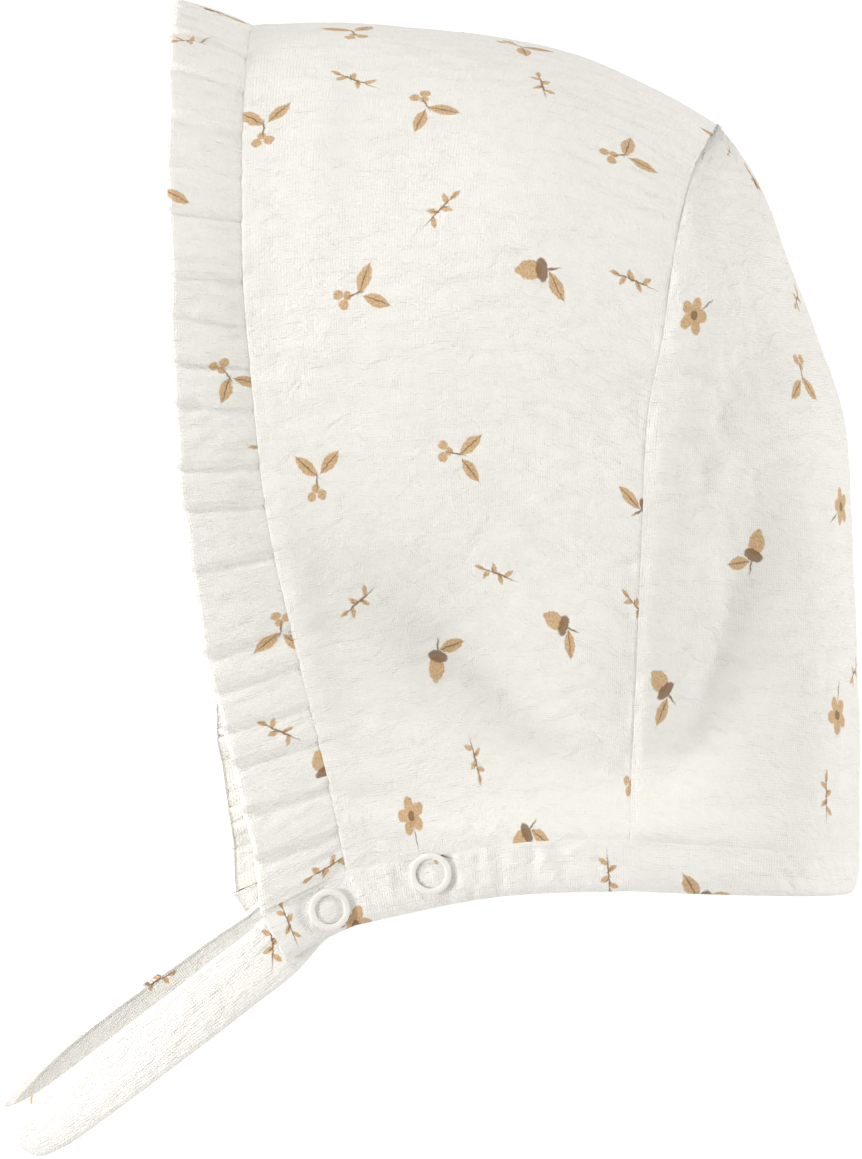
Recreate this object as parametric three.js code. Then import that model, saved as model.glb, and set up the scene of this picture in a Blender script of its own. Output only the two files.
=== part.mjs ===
import * as THREE from 'three';

// Baby bonnet with a gathered face frill and a snap-on chin strap.
// Millimetres. +Z is up, the face opening looks toward -Y, the snaps sit on the +X side.
// The origin is where the crown of a head meets the inside of the hood.

// ---------------------------------------------------------------- driving dimensions
const PANEL_WALL = 1.4;        // hood and back panels, cloth with its seam allowance
const FRILL_WALL = 1.8;        // the frill is folded double
const BAND_WALL = 1.8;         // the neck band is turned under
const STRAP_WALL = 1.6;
const STRAP_WIDTH = 13.5;
const STRAP_BULGE = 0.5;       // the middle of the strap stands proud of its edges
const STRAP_CUP = 1.5;         // how far the strap edges curl in at the turn
const STRAP_STAND_OFF = 2.4;   // room between neck band and strap for the snap halves
const SEAM_GAP = 0.3;
const SNAP_OUTER_RADIUS = 4.6;
const SNAP_INNER_RADIUS = 3.2;
const SNAP_HEIGHT = 1.3;
const SNAP_STAND = 0.3;
const STUD_RADIUS = 4.2;
const STUD_HEIGHT = 0.8;
const HEM_DRAW_IN = 0.8;       // the neck band closes in by this much toward its lower edge
const FOLD_HALF_WIDTH = 1.8;
const FRILL_PUFF = 0.5;        // the frill stands out between its folds
const FRILL_ROUND = 0.9;       // and is rounded between seam and edge
const FAR_RELIEF = 0.7;        // the side away from the snaps is dented less
const FAR_CORNER_FORWARD = 6.0;  // the strap pulls the far lower front corner this much toward the face

// Every lengthwise line of the hood has a round top of this radius, then sides
// that draw in by the share `taper` on the way down to the neck.
const EDGE_ARCH = { radius: 60.5, taper: 0.2 };
const FRONT_ARCH = { radius: 56, taper: 0.18 };
const CROWN_ARCH = { radius: 59, taper: 0.15 };

// ---------------------------------------------------------------- side-view lines, top to bottom
const FRILL_EDGE = [
  { y: -72.6, z: 9.6 }, { y: -73.7, z: 1.2 }, { y: -74.3, z: -20.2 }, { y: -73.8, z: -44.6 },
  { y: -73.2, z: -68.4 }, { y: -71.9, z: -94.4 }, { y: -67.3, z: -129.1 }, { y: -61.5, z: -155.2 },
  { y: -56.7, z: -173.7 }, { y: -53.9, z: -192.8 },
];
const FRONT_SEAM = [
  { y: -55.6, z: 4.4 }, { y: -56.9, z: -5.5 }, { y: -57.8, z: -20.7 }, { y: -58.0, z: -36.0 },
  { y: -57.8, z: -54.2 }, { y: -56.5, z: -71.5 }, { y: -53.0, z: -104.1 }, { y: -47.8, z: -129.3 },
  { y: -39.7, z: -162.3 }, { y: -35.3, z: -183.7 },
];
const CROWN_SEAM = [
  { y: 48.7, z: -17.9 }, { y: 44.4, z: -25.0 }, { y: 40.6, z: -32.3 }, { y: 36.2, z: -48.4 },
  { y: 33.0, z: -69.0 }, { y: 30.0, z: -85.0 }, { y: 28.8, z: -111.7 }, { y: 27.7, z: -148.7 },
  { y: 26.6, z: -177.1 },
];
const TOP_LINE = [
  { y: -55.6, z: 4.4 }, { y: -36.0, z: 4.9 }, { y: -18.0, z: 3.6 }, { y: 0.0, z: 1.6 },
  { y: 18.0, z: -2.6 }, { y: 36.1, z: -10.7 }, { y: 48.7, z: -17.9 },
];
const BACK_LINE = [
  { y: 48.7, z: -17.9 }, { y: 57.7, z: -30.3 }, { y: 65.6, z: -48.3 }, { y: 72.4, z: -66.3 },
  { y: 78.3, z: -84.3 }, { y: 80.1, z: -104.6 }, { y: 81.2, z: -133.9 }, { y: 81.2, z: -165.4 },
  { y: 80.7, z: -181.7 },
];
const BAND_TOP = [
  { y: -35.3, z: -183.7 }, { y: -17.0, z: -180.8 }, { y: 4.5, z: -177.5 }, { y: 26.6, z: -177.1 },
];
const BAND_FOOT_FRONT = [
  { y: -48.0, z: -203.6 }, { y: -41.0, z: -199.7 }, { y: -32.9, z: -196.0 },
];
const BAND_FOOT_SIDE = [
  { y: -32.9, z: -196.0 }, { y: -10.8, z: -191.2 }, { y: 4.6, z: -189.2 }, { y: 26.6, z: -188.5 },
];
const BAND_FOOT_BACK = { y: 79.6, z: -191.0 };

// Broad dents and swells of the panels: centre, height, reach along and across, turn in degrees.
const RELIEF = [
  { y: -21, z: -116, lift: -0.8, along: 34, across: 15, turn: -24 },
  { y: 49, z: -112, lift: -1.4, along: 40, across: 11, turn: 82 },
  { y: 9, z: -40, lift: 1.5, along: 28, across: 18, turn: 10 },
  { y: -43, z: -22, lift: 0.7, along: 16, across: 10, turn: 90 },
  { y: 72, z: -140, lift: 1.2, along: 40, across: 14, turn: 90 },
  { y: -3, z: -172, lift: 1.1, along: 40, across: 9, turn: 6 },
];

// The slack of the empty bonnet sinks to this line; below and behind it the cloth turns out again.
const VALLEY_LINE = [
  { y: -47.2, z: -122.7 }, { y: -22.5, z: -129.4 }, { y: -4.5, z: -142.9 }, { y: 9.0, z: -156.4 },
  { y: 27.0, z: -164.4 }, { y: 43.5, z: -159.0 }, { y: 54.0, z: -136.2 }, { y: 60.5, z: -107.0 },
  { y: 65.0, z: -79.9 },
];
const VALLEY_DEPTH = 8.5;
const VALLEY_CREASE_REACH = 5.5;   // reach of the crease at its bottom
const VALLEY_SLACK_REACH = 16;     // reach of the slack on both sides
const VALLEY_CREASE_SHARE = 0.22;
const VALLEY_SAMPLES = 96;
const VALLEY_FRONT_FADE = 0.12;    // share of the hood's width over which the front seam holds it out
const VALLEY_HEM_FADE = 10;        // the neck band holds the cloth above it out over this height

// Folds of the frill, counted in millimetres round the arch from its top to the neck.
// `lean` is how far the outer end of a fold sits below the end at the seam.
const FOLDS = [
  { at: 4, depth: 0.9, lean: 1 }, { at: 16, depth: 1.0, lean: -1 }, { at: 33, depth: 1.3, lean: -2 },
  { at: 50, depth: 1.2, lean: -2 }, { at: 61, depth: 1.0, lean: -1 }, { at: 71, depth: 0.9, lean: 0 },
  { at: 79, depth: 1.0, lean: 0 }, { at: 92, depth: 1.4, lean: 0 }, { at: 102, depth: 1.0, lean: -2 },
  { at: 111, depth: 1.7, lean: -2 }, { at: 120, depth: 1.2, lean: -2 }, { at: 132, depth: 1.6, lean: -1 },
  { at: 141, depth: 1.7, lean: -2 }, { at: 152, depth: 1.2, lean: 0 }, { at: 169, depth: 1.8, lean: 0 },
  { at: 177, depth: 1.1, lean: 0 }, { at: 186, depth: 1.0, lean: -1 }, { at: 194, depth: 1.5, lean: -2 },
  { at: 204, depth: 1.8, lean: -2 }, { at: 214, depth: 1.6, lean: -2 },
];
const FAR_FOLD_SHIFT = [3, -2, 4, -3];   // the folds of the far side fall elsewhere

// Chin strap: the stretch tucked inside the neck band, then the free loop. The loop runs
// down a slope that falls toward the face: `run` goes down it and `rise` is square to it.
const STRAP_SLOPE = 36;
const STRAP_ROOT = { y: -51.2, z: -201.7 };
const STRAP_TUCK = [{ y: -8.0, z: -182.0 }, { y: -16.8, z: -184.2 }, { y: -39.0, z: -191.2 }];
const STRAP_LOOP = [
  { run: 0, rise: 0.0, x: 43.8 }, { run: 10, rise: -0.4, x: 42.3 }, { run: 21, rise: -0.9, x: 39.5 },
  { run: 32, rise: -1.3, x: 35.3 }, { run: 43, rise: -1.8, x: 29.5 }, { run: 54, rise: -2.3, x: 22.0 },
  { run: 64, rise: -2.5, x: 13.0 }, { run: 72, rise: -1.4, x: 0.0 }, { run: 64, rise: 0.3, x: -13.0 },
  { run: 54, rise: 1.2, x: -22.0 }, { run: 43, rise: 1.3, x: -29.5 }, { run: 32, rise: 1.2, x: -35.3 },
  { run: 21, rise: 1.0, x: -39.5 }, { run: 10, rise: 0.8, x: -42.3 }, { run: 0, rise: 0.5, x: -43.8 },
];
const STRAP_FAR_END = [{ y: -39.0, z: -193.4 }, { y: -28.0, z: -188.6 }];

const SNAPS = [
  { name: 'front', y: -39.0, z: -192.4 },
  { name: 'rear', y: -16.8, z: -184.5 },
];

// ---------------------------------------------------------------- finishes
function cloth(name, hex) {
  return new THREE.MeshStandardMaterial({ name, color: hex, roughness: 0.95, metalness: 0 });
}
const PRINTED_MUSLIN = cloth('printed_muslin', '#eeebe4');
const HEM_MUSLIN = cloth('hem_muslin', '#f2f0ea');
const SNAP_RESIN = new THREE.MeshStandardMaterial({
  name: 'snap_resin', color: '#f3efe4', roughness: 0.3, metalness: 0,
});

// ---------------------------------------------------------------- curves
function path(rows) {
  const curve = new THREE.SplineCurve(rows.map((row) => new THREE.Vector2(row.y, row.z)));
  curve.arcLengthDivisions = 400;
  const length = curve.getLength();
  const first = curve.getPointAt(0);
  const last = curve.getPointAt(1);
  const end = curve.getTangentAt(1).multiplyScalar(length);
  const at = (share) => {
    if (share <= 0) return first.clone();
    if (share >= 1) return last.clone().addScaledVector(end, share - 1);
    return curve.getPointAt(share);
  };
  return { at, length };
}

const EDGE = { ...EDGE_ARCH, ...path(FRILL_EDGE) };
const FRONT = { ...FRONT_ARCH, ...path(FRONT_SEAM) };
const CROWN = { ...CROWN_ARCH, ...path(CROWN_SEAM) };
const TOP = path(TOP_LINE);
const BACK = path(BACK_LINE);
const HEM = path(BAND_TOP);
const FOOT_FRONT = path(BAND_FOOT_FRONT);
const FOOT_SIDE = path(BAND_FOOT_SIDE);

const mix = (a, b, share) => a + (b - a) * share;
const mix2 = (a, b, share) => new THREE.Vector2(mix(a.x, b.x, share), mix(a.y, b.y, share));

// Half width and side-view progress at the share `f` of the way round an arch.
function arch(radius, taper, length, f) {
  const round = (Math.PI * radius) / 2;
  const run = f * (round + length - radius);
  if (run < round) {
    const turn = run / radius;
    return { x: radius * Math.sin(turn), g: (radius * (1 - Math.cos(turn))) / length, run };
  }
  const down = run - round;
  const share = down / (length - radius);
  return { x: radius * (1 - taper * share ** 1.5), g: (radius + down) / length, run };
}

function between(a, b, share, f) {
  return arch(mix(a.radius, b.radius, share), mix(a.taper, b.taper, share), mix(a.length, b.length, share), f);
}

// Height on the back line that a height on the crown seam is joined to.
const CROWN_TOP = CROWN_SEAM[0].z;
const CROWN_FOOT = CROWN_SEAM[CROWN_SEAM.length - 1].z;
const BACK_FOOT = BACK_LINE[BACK_LINE.length - 1].z;
function backAtHeight(z) {
  const wanted = mix(CROWN_TOP, BACK_FOOT, (z - CROWN_TOP) / (CROWN_FOOT - CROWN_TOP));
  let low = 0;
  let high = 1;
  for (let step = 0; step < 24; step += 1) {
    const middle = (low + high) / 2;
    if (BACK.at(middle).y > wanted) low = middle; else high = middle;
  }
  return BACK.at((low + high) / 2);
}

const smooth = (value) => {
  const v = Math.min(1, Math.max(0, value));
  return v * v * (3 - 2 * v);
};

// The undented shell of the bonnet.
// t: -1 frill edge, 0 front seam, 1 crown seam, 2 centre back, then mirrored to 5.
// f: 0 crown line, 1 top of the neck band, 2 its foot; a negative f is the far side.
function shell(t, f) {
  if (f < 0) return farSide(t, -f);
  if (t > 2) return farSide(4 - t, f);
  if (f > 1) return bandPoint(t, f - 1);
  if (t <= 0) {
    const { x, g } = between(FRONT, EDGE, -t, f);
    const p = mix2(FRONT.at(g), EDGE.at(g), -t);
    return new THREE.Vector3(x, p.x, p.y);
  }
  if (t <= 1) {
    const { x, g } = between(FRONT, CROWN, t, f);
    const sides = mix2(FRONT.at(g), CROWN.at(g), t);
    const ends = mix2(TOP.at(t), HEM.at(t), g);
    const corners = mix2(mix2(FRONT.at(0), CROWN.at(0), t), mix2(FRONT.at(1), CROWN.at(1), t), g);
    return new THREE.Vector3(x, sides.x + ends.x - corners.x, sides.y + ends.y - corners.y);
  }
  const { x, g } = arch(CROWN.radius, CROWN.taper, CROWN.length, f);
  const seam = CROWN.at(g);
  const centre = backAtHeight(seam.y);
  const turn = (Math.PI / 2) * (2 - t);
  const share = Math.cos(turn) ** (2 / mix(1, 2, smooth(f / 0.4)));
  const p = mix2(seam, centre, share);
  return new THREE.Vector3(x * Math.sin(turn), p.x, p.y);
}

function farSide(t, f) {
  const p = shell(t, f);
  const spread = t <= 0 ? 0.6 - 0.4 * t : 0.6 * Math.max(0, 1 - t) ** 2;
  return new THREE.Vector3(-p.x, p.y - FAR_CORNER_FORWARD * spread * smooth((f - 0.7) / 0.28), p.z);
}

function bandPoint(t, drop) {
  const top = shell(t, 1);
  let foot;
  if (t <= 0) foot = FOOT_FRONT.at(1 + t);
  else if (t <= 1) foot = FOOT_SIDE.at(t);
  else {
    const share = Math.cos((Math.PI / 2) * (2 - t));
    const corner = FOOT_SIDE.at(1);
    foot = new THREE.Vector2(mix(corner.x, BAND_FOOT_BACK.y, share), mix(corner.y, BAND_FOOT_BACK.z, share));
  }
  const width = top.x * (1 - (HEM_DRAW_IN / 50) * drop);
  return new THREE.Vector3(width, mix(top.y, foot.x, drop), mix(top.z, foot.y, drop));
}

const STEP = 0.004;
function slopeNormal(t, f) {
  const across = shell(t + STEP, f).sub(shell(t - STEP, f));
  const down = shell(t, f + STEP).sub(shell(t, f - STEP));
  return across.cross(down).multiplyScalar(-1).normalize();
}

// Outward direction of the shell. Along the crown seam both panels share one, so their walls meet in a mitre.
const MITRE_REACH = 0.3;
const CROWN_TIP_DIRECTION = new THREE.Vector3(0, 0.66, 0.75).normalize();
function outward(t, f) {
  if (f < 0) return outward(t, -f).multiply(new THREE.Vector3(-1, 1, 1));
  if (t > 2) return outward(4 - t, f).multiply(new THREE.Vector3(-1, 1, 1));
  if (t > 0.99 && f < 0.01) return CROWN_TIP_DIRECTION.clone();
  if (Math.abs(t - 1) < 0.001) return slopeNormal(0.97, f).add(slopeNormal(1.14, f)).normalize();
  if (t > 1 && t < 1 + MITRE_REACH) {
    return outward(1, f).lerp(slopeNormal(t, f), smooth((t - 1) / MITRE_REACH)).normalize();
  }
  return slopeNormal(t, f);
}

function dent(p) {
  let sum = 0;
  for (const row of RELIEF) {
    const a = THREE.MathUtils.degToRad(row.turn);
    const dy = p.y - row.y;
    const dz = p.z - row.z;
    const u = (dy * Math.cos(a) + dz * Math.sin(a)) / row.along;
    const v = (-dy * Math.sin(a) + dz * Math.cos(a)) / row.across;
    sum += row.lift * Math.exp(-u * u - v * v);
  }
  return sum * (p.x < 0 ? FAR_RELIEF : 1);
}

const steps = (from, to, count) => Array.from({ length: count + 1 }, (_, i) => mix(from, to, i / count));

const VALLEY = path(VALLEY_LINE);
const VALLEY_PLACES = steps(0, 1, VALLEY_SAMPLES).map((share) => ({
  spot: VALLEY.at(share),
  weight: (VALLEY.length / VALLEY_SAMPLES) * smooth(share / 0.22) * smooth((1 - share) / 0.3),
}));

function valley(t, f, p) {
  const bell = (reach) => VALLEY_PLACES.reduce((sum, { spot, weight }) => {
    const square = (p.y - spot.x) ** 2 + (p.z - spot.y) ** 2;
    return sum + weight * Math.exp(-square / (2 * reach * reach));
  }, 0) / (Math.sqrt(2 * Math.PI) * reach);
  const shape = mix(bell(VALLEY_SLACK_REACH), bell(VALLEY_CREASE_REACH), VALLEY_CREASE_SHARE);
  const held = smooth(t / VALLEY_FRONT_FADE) * smooth(((1 - Math.abs(f)) * FRILL_RUN(0)) / VALLEY_HEM_FADE);
  return VALLEY_DEPTH * shape * held * (p.x < 0 ? FAR_RELIEF : 1);
}

const FRILL_RUN = (t) => {
  const length = mix(FRONT.length, EDGE.length, -t);
  const radius = mix(FRONT.radius, EDGE.radius, -t);
  return (Math.PI * radius) / 2 + length - radius;
};

function foldPlace(index, far) {
  return FOLDS[index].at + (far ? FAR_FOLD_SHIFT[index % FAR_FOLD_SHIFT.length] : 0);
}

function frillDepth(t, f) {
  const reach = -t;
  const run = Math.abs(f) * FRILL_RUN(0);
  let sum = FRILL_PUFF * reach + FRILL_ROUND * Math.sin(Math.PI * reach);
  FOLDS.forEach((fold, index) => {
    const place = foldPlace(index, f < 0) + fold.lean * reach;
    const away = (run - place) / FOLD_HALF_WIDTH;
    sum -= fold.depth * (0.15 + 0.85 * reach) * Math.exp(-away * away);
  });
  return sum;
}

// ---------------------------------------------------------------- building walls
// A grid of outer points and inward directions becomes a closed wall.
function wall(grid, thickness) {
  const rows = grid.length;
  const cols = grid[0].length;
  trimEdges(grid);
  const position = [];
  grid.forEach((line) => line.forEach(({ p }) => position.push(p.x, p.y, p.z)));
  grid.forEach((line) => line.forEach(({ p, n }) => {
    position.push(p.x - n.x * thickness, p.y - n.y * thickness, p.z - n.z * thickness);
  }));
  const inner = rows * cols;
  const id = (r, c) => r * cols + c;
  const index = [];
  const quad = (a, b, c, d) => index.push(a, b, c, a, c, d);
  for (let r = 0; r + 1 < rows; r += 1) {
    for (let c = 0; c + 1 < cols; c += 1) {
      quad(id(r, c), id(r, c + 1), id(r + 1, c + 1), id(r + 1, c));
      quad(inner + id(r, c), inner + id(r + 1, c), inner + id(r + 1, c + 1), inner + id(r, c + 1));
    }
  }
  for (let c = 0; c + 1 < cols; c += 1) {
    quad(id(0, c), inner + id(0, c), inner + id(0, c + 1), id(0, c + 1));
    quad(id(rows - 1, c), id(rows - 1, c + 1), inner + id(rows - 1, c + 1), inner + id(rows - 1, c));
  }
  for (let r = 0; r + 1 < rows; r += 1) {
    quad(id(r, 0), id(r + 1, 0), inner + id(r + 1, 0), inner + id(r, 0));
    quad(id(r, cols - 1), inner + id(r, cols - 1), inner + id(r + 1, cols - 1), id(r + 1, cols - 1));
  }
  return closedGeometry(position, index);
}

// Half the seam gap is taken off each edge, along the cloth.
function trimEdges(grid) {
  const rows = grid.length;
  const cols = grid[0].length;
  const pull = (from, to) => from.p.add(to.p.clone().sub(from.p).setLength(SEAM_GAP / 2));
  for (let c = 0; c < cols; c += 1) {
    pull(grid[0][c], grid[1][c]);
    pull(grid[rows - 1][c], grid[rows - 2][c]);
  }
  for (let r = 0; r < rows; r += 1) {
    pull(grid[r][0], grid[r][1]);
    pull(grid[r][cols - 1], grid[r][cols - 2]);
  }
}

function closedGeometry(position, index) {
  let volume = 0;
  const v = (i) => new THREE.Vector3(position[3 * i], position[3 * i + 1], position[3 * i + 2]);
  for (let i = 0; i < index.length; i += 3) {
    volume += v(index[i]).dot(v(index[i + 1]).cross(v(index[i + 2]))) / 6;
  }
  if (volume < 0) {
    for (let i = 0; i < index.length; i += 3) {
      [index[i], index[i + 2]] = [index[i + 2], index[i]];
    }
  }
  const geometry = new THREE.BufferGeometry();
  geometry.setAttribute('position', new THREE.Float32BufferAttribute(position, 3));
  geometry.setIndex(index);
  geometry.computeVertexNormals();
  return geometry;
}

function piece(name, geometry, material) {
  const mesh = new THREE.Mesh(geometry, material);
  mesh.name = name;
  return mesh;
}


function shellGrid(ts, fs, relief) {
  return fs.map((f) => ts.map((t) => {
    const n = outward(t, f);
    const p = shell(t, f);
    return { p: p.addScaledVector(n, relief(t, f, p)), n };
  }));
}

// ---------------------------------------------------------------- cloth pieces
const HOOD_ROUNDS = 24;     // spans from the crown line to the hem, each side
const HOOD_ACROSS = 12;
const BACK_TURN = 8;        // spans from crown seam to centre back
const BACK_START = 0.042;

function hoodPanel() {
  const grid = shellGrid(steps(0, 1, HOOD_ACROSS), steps(-1, 1, 2 * HOOD_ROUNDS), (t, f, p) => dent(p) - valley(t, f, p));
  return piece('hood_panel', wall(grid, PANEL_WALL), PRINTED_MUSLIN);
}

function backPanel() {
  const fs = [BACK_START, ...steps(1 / HOOD_ROUNDS, 1, HOOD_ROUNDS - 1)];
  const grid = shellGrid(steps(1, 3, 2 * BACK_TURN), fs, (t, f, p) => dent(p) - valley(t, f, p));
  return piece('back_panel', wall(grid, PANEL_WALL), PRINTED_MUSLIN);
}

// The frill is cut where its folds fall: foot, both shoulders and the crest between two folds.
function frillStations(far) {
  const total = FRILL_RUN(0);
  const places = FOLDS.map((_, index) => foldPlace(index, far));
  const stations = [];
  places.forEach((place, index) => {
    const next = index + 1 < places.length ? places[index + 1] : total;
    stations.push(place - FOLD_HALF_WIDTH, place, place + FOLD_HALF_WIDTH);
    if (next - place > 3 * FOLD_HALF_WIDTH) stations.push((place + next) / 2);
  });
  stations.push(total);
  return stations.filter((s) => s > 1).sort((a, b) => a - b)
    .filter((s, i, all) => i === 0 || s - all[i - 1] > 0.6).map((s) => s / total);
}

function faceFrill() {
  const near = frillStations(false);
  const far = frillStations(true).map((f) => -f).reverse();
  const fs = [...far, 0, ...near];
  const grid = shellGrid([-1, -0.72, -0.4, 0], fs, (t, f, p) => frillDepth(t, f) + dent(p) * (1 + t));
  return piece('face_frill', wall(grid, FRILL_WALL), PRINTED_MUSLIN);
}

function neckBand() {
  const ts = [
    ...steps(-1, 0, 3), ...steps(0, 1, HOOD_ACROSS).slice(1), ...steps(1, 3, 2 * BACK_TURN).slice(1),
    ...steps(3, 4, HOOD_ACROSS).slice(1), ...steps(4, 5, 3).slice(1),
  ];
  const swell = (t, f, p) => 0.5 * Math.sin(Math.PI * (f - 1)) + dent(p);
  return piece('neck_band', wall(shellGrid(ts, [1, 1.25, 1.75, 2], swell), BAND_WALL), HEM_MUSLIN);
}

// ---------------------------------------------------------------- chin strap and snaps
// Where on the neck band or hood a side-view place lies.
function onShell(y, z) {
  let best = { gap: Infinity };
  for (let t = -1; t <= 1.001; t += 0.02) {
    for (let f = 0.85; f <= 2.001; f += 0.02) {
      const p = shell(t, f);
      const gap = Math.hypot(p.y - y, p.z - z);
      if (gap < best.gap) best = { gap, t, f, p };
    }
  }
  const n = outward(best.t, best.f);
  const base = best.p.clone();
  base.x -= (n.y * (y - base.y) + n.z * (z - base.z)) / n.x;
  base.y = y;
  base.z = z;
  return { p: base.addScaledVector(n, dent(base)), n };
}

function strapPoints() {
  const inset = BAND_WALL + STRAP_STAND_OFF + STRAP_WALL / 2;
  const tucked = ({ y, z }) => {
    const { p, n } = onShell(y, z);
    return p.addScaledVector(n, -inset);
  };
  const slope = THREE.MathUtils.degToRad(STRAP_SLOPE);
  const loop = STRAP_LOOP.map(({ run, rise, x }) => new THREE.Vector3(
    x,
    STRAP_ROOT.y - run * Math.cos(slope) - rise * Math.sin(slope),
    STRAP_ROOT.z - run * Math.sin(slope) + rise * Math.cos(slope),
  ));
  const far = STRAP_FAR_END.map(tucked)
    .map((p) => new THREE.Vector3(-p.x, p.y - 0.6 * FAR_CORNER_FORWARD, p.z));
  return [...STRAP_TUCK.map(tucked), ...loop, ...far];
}

const STRAP_SPANS = 52;
function chinStrap() {
  const curve = new THREE.CatmullRomCurve3(strapPoints());
  curve.arcLengthDivisions = 800;
  const slope = THREE.MathUtils.degToRad(STRAP_SLOPE);
  const grid = steps(0, 1, STRAP_SPANS).map((s) => {
    const centre = curve.getPointAt(s);
    const along = curve.getTangentAt(s);
    // The strap stands on edge: its width lies in the side view, square to its run.
    const steady = new THREE.Vector3(0, -Math.sin(slope), Math.cos(slope));
    const across = new THREE.Vector3(0, -along.z, along.y);
    if (across.z < 0) across.negate();
    const free = smooth((44 - Math.abs(centre.x)) / 6);
    across.normalize().lerp(steady, free).normalize();
    const facing = along.clone().cross(across).normalize();
    const away = new THREE.Vector3(centre.x, -20, -14);
    if (facing.dot(away) < 0) facing.negate();
    const turn = Math.max(0, 1 - Math.abs(centre.x) / 34);
    return [-1, -0.86, -0.45, 0, 0.45, 0.86, 1].map((v) => {
      const lift = STRAP_BULGE * (1 - v * v) - STRAP_CUP * turn ** 1.5 * Math.abs(v) ** 3.2;
      const p = centre.clone().addScaledVector(across, (v * STRAP_WIDTH) / 2)
        .addScaledVector(facing, STRAP_WALL / 2 + lift - STRAP_BULGE);
      return { p, n: facing };
    });
  });
  return piece('chin_strap', wall(grid, STRAP_WALL), HEM_MUSLIN);
}

function snapRing({ name, y, z }) {
  const place = onShell(y, z);
  place.p.addScaledVector(place.n, SNAP_STAND + 0.45);
  const middle = (SNAP_OUTER_RADIUS + SNAP_INNER_RADIUS) / 2;
  const half = (SNAP_OUTER_RADIUS - SNAP_INNER_RADIUS) / 2;
  const section = Array.from({ length: 8 }, (_, i) => {
    const a = (i / 8) * Math.PI * 2;
    return new THREE.Vector2(middle + half * Math.cos(a), (SNAP_HEIGHT / 2) * (1 + Math.sin(a)));
  });
  return piece(`snap_ring_${name}`, loopRing(section, place, 24), SNAP_RESIN);
}

// A closed cross-section is carried round in a ring.

function loopRing(section, place, spans) {
  const turned = new THREE.Quaternion().setFromUnitVectors(new THREE.Vector3(0, 1, 0), place.n);
  const position = [];
  for (let s = 0; s < spans; s += 1) {
    const a = (s / spans) * Math.PI * 2;
    section.forEach((corner) => {
      const p = new THREE.Vector3(corner.x * Math.cos(a), corner.y, corner.x * Math.sin(a));
      p.applyQuaternion(turned).add(place.p);
      position.push(p.x, p.y, p.z);
    });
  }
  const k = section.length;
  const index = [];
  for (let s = 0; s < spans; s += 1) {
    for (let c = 0; c < k; c += 1) {
      const a = s * k + c;
      const b = s * k + ((c + 1) % k);
      const d = ((s + 1) % spans) * k + c;
      const e = ((s + 1) % spans) * k + ((c + 1) % k);
      index.push(a, b, e, a, e, d);
    }
  }
  return closedGeometry(position, index);
}

function snapStud({ name, y, z }) {
  const place = onShell(y, z);
  place.p.addScaledVector(place.n, -(BAND_WALL + STRAP_STAND_OFF / 2));
  const disc = new THREE.CylinderGeometry(STUD_RADIUS, STUD_RADIUS, STUD_HEIGHT, 20);
  disc.applyQuaternion(new THREE.Quaternion().setFromUnitVectors(new THREE.Vector3(0, 1, 0), place.n));
  disc.translate(place.p.x, place.p.y, place.p.z);
  return piece(`snap_stud_${name}`, disc, SNAP_RESIN);
}

const bonnet = new THREE.Group();
bonnet.name = 'baby_bonnet';
bonnet.add(hoodPanel(), backPanel(), faceFrill(), neckBand(), chinStrap());
SNAPS.forEach((snap) => bonnet.add(snapRing(snap), snapStud(snap)));

export default bonnet;
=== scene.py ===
"""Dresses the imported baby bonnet: muslin panels, gathered frill, neck band, chin strap and snaps."""
import logging
import math
from collections.abc import Sequence
from dataclasses import dataclass
from enum import Enum

import bmesh
import bpy
import numpy as np
from mathutils import Matrix, Vector


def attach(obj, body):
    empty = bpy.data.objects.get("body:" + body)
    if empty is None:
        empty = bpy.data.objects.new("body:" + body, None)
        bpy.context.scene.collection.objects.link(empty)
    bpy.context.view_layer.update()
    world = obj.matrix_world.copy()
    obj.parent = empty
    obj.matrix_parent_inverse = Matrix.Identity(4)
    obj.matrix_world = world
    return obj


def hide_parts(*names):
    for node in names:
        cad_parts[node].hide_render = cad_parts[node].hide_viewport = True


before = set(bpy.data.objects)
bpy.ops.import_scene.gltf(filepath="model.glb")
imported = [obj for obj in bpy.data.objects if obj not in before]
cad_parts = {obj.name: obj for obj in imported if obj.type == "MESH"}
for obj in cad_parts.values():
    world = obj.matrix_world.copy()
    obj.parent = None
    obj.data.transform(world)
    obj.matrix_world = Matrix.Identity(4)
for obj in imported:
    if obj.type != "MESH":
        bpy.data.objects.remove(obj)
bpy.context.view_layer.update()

LOG = logging.getLogger("bonnet")
MM = 0.001
Array = np.ndarray
Tree = bpy.types.NodeTree
Socket = bpy.types.NodeSocket


# ---- Driving sizes, in millimetres, the same as in the part's source ----
PANEL_WALL = 1.4
FRILL_WALL = 1.8
BAND_WALL = 1.8
STRAP_WALL = 1.6
STRAP_WIDTH = 13.5
STRAP_CUP = 1.5
STRAP_STAND_OFF = 2.4
STRAP_SLOPE = math.radians(36.0)
HEM_DRAW_IN = 0.8
FAR_RELIEF = 0.7
FAR_CORNER_FORWARD = 6.0
SNAP_OUTER_RADIUS = 4.6
SNAP_INNER_RADIUS = 3.2
SNAP_HEIGHT = 1.3
SNAP_SEAT = 0.6                # height of a ring's middle above the band's form

# Sizes that only the cloth's relief needs
CALM_REACH = 2.2               # small relief dies away over this distance from a seam
FRILL_HEIGHT = 18.0
BAND_HEIGHT = 12.0
BAND_LENGTH = 330.0
BAND_CORNER = 0.08             # share of the band in front of each front seam
BACK_HALF_WIDTH = 84.0


@dataclass(frozen=True)
class Spot:
    """A place in the side view, in millimetres: toward the back of the head, and up."""

    y: float
    z: float


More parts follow.
